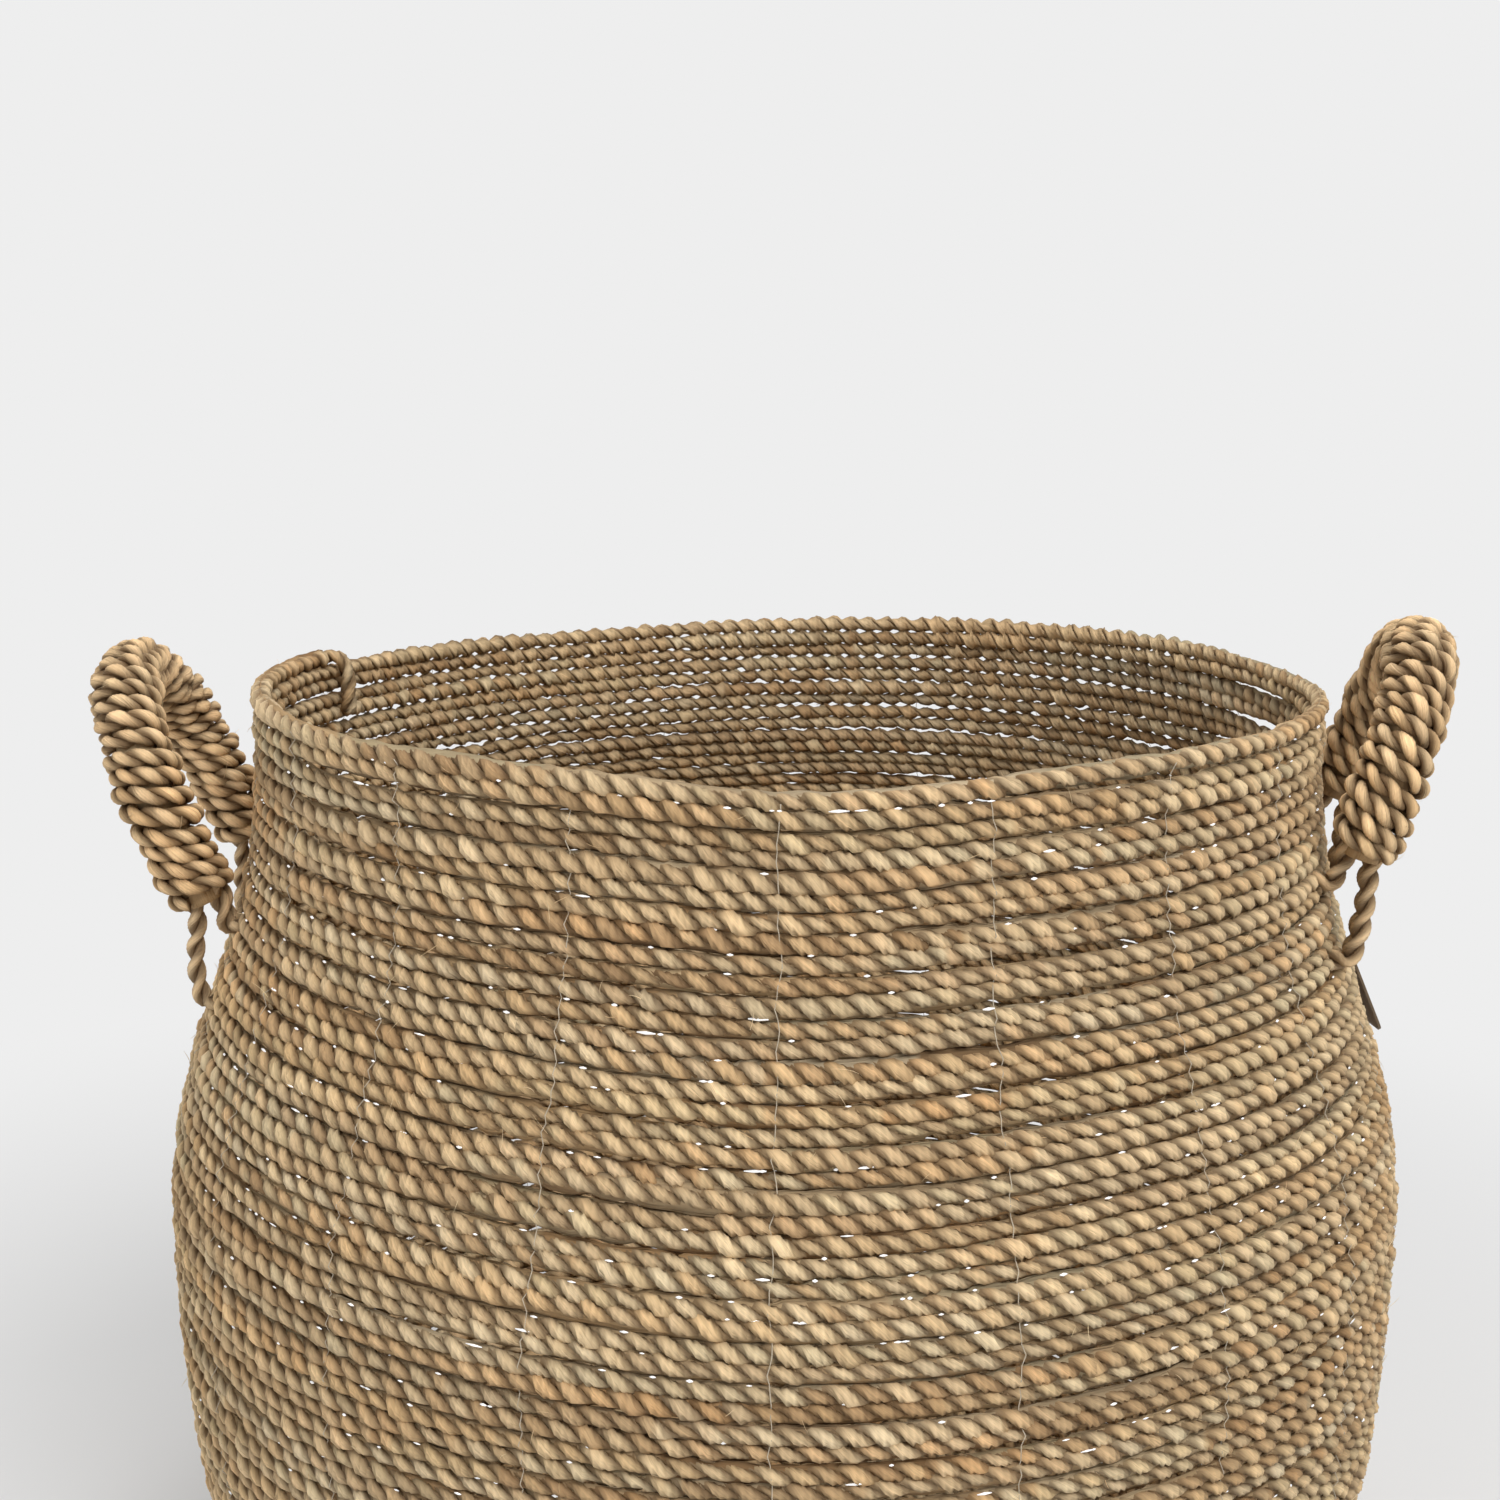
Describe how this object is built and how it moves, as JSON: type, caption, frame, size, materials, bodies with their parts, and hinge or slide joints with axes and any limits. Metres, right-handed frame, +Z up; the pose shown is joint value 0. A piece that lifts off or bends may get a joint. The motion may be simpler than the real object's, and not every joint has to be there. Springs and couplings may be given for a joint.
{
  "type": "seagrass storage basket",
  "caption": "Round coiled rope storage basket with a belly, an open top, a wound rope handle on each side and a small blank tab.",
  "frame": {"origin": "middle of the base's underside, on the floor", "axes": "+Z up along the basket's axis, -Y towards the front, +X and -X towards the two handles"},
  "size_m": [0.5506, 0.5218, 0.4931],
  "materials": {
    "seagrass_rope": "matte twisted dried grass",
    "seagrass_cord": "matte twisted dried grass, tighter and smoother than the wall",
    "grip_core": "matte",
    "clear_thread": "clear nylon",
    "brown_tab": "matte, stiff"
  },
  "bodies": {
    "root": {"base_coil": "seagrass_rope", "wall_rope_base_edge": "seagrass_rope", "wall_rope_heel": "seagrass_rope", "wall_rope_lower_belly": "seagrass_rope", "wall_rope_upper_belly": "seagrass_rope", "wall_rope_shoulder": "seagrass_rope", "wall_rope_neck": "seagrass_rope", "rim_rope": "seagrass_rope", "stitch_thread_01": "clear_thread", "stitch_thread_02": "clear_thread", "stitch_thread_03": "clear_thread", "stitch_thread_04": "clear_thread", "stitch_thread_05": "clear_thread", "stitch_thread_06": "clear_thread", "stitch_thread_07": "clear_thread", "stitch_thread_08": "clear_thread", "stitch_thread_09": "clear_thread", "stitch_thread_10": "clear_thread", "stitch_thread_11": "clear_thread", "stitch_thread_12": "clear_thread", "stitch_thread_13": "clear_thread", "stitch_thread_14": "clear_thread", "stitch_thread_15": "clear_thread", "stitch_thread_16": "clear_thread", "stitch_thread_17": "clear_thread", "stitch_thread_18": "clear_thread", "stitch_thread_19": "clear_thread", "stitch_thread_20": "clear_thread", "lashing_left_front": "seagrass_cord", "lashing_left_back": "seagrass_cord", "lashing_right_front": "seagrass_cord", "lashing_right_back": "seagrass_cord", "tab_thread": "clear_thread"},
    "handle_left": {"handle_core_left": "grip_core", "handle_wrap_left": "seagrass_cord"},
    "handle_right": {"handle_core_right": "grip_core", "handle_wrap_right": "seagrass_cord"},
    "tab": {"blank_tab": "brown_tab"}
  },
  "joints": [
    {"name": "handle_left_tilt", "type": "hinge", "parent": "root", "child": "handle_left", "pos_m": [-0.22922, -0.02207, 0.383], "axis": [0.0958, -0.9954, 0], "range_deg": [-20, 45], "deforming": ["lashing_left_front", "lashing_left_back"]},
    {"name": "handle_right_tilt", "type": "hinge", "parent": "root", "child": "handle_right", "pos_m": [0.22037, -0.04885, 0.408], "axis": [0.2164, 0.9763, 0], "range_deg": [-16, 49], "deforming": ["lashing_right_front", "lashing_right_back"]},
    {"name": "tab_lift", "type": "hinge", "parent": "root", "child": "tab", "pos_m": [0.24302, 0.02554, 0.34853], "axis": [0.1045, -0.9945, 0], "range_deg": [-8, 75], "deforming": ["tab_thread"]}
  ]
}
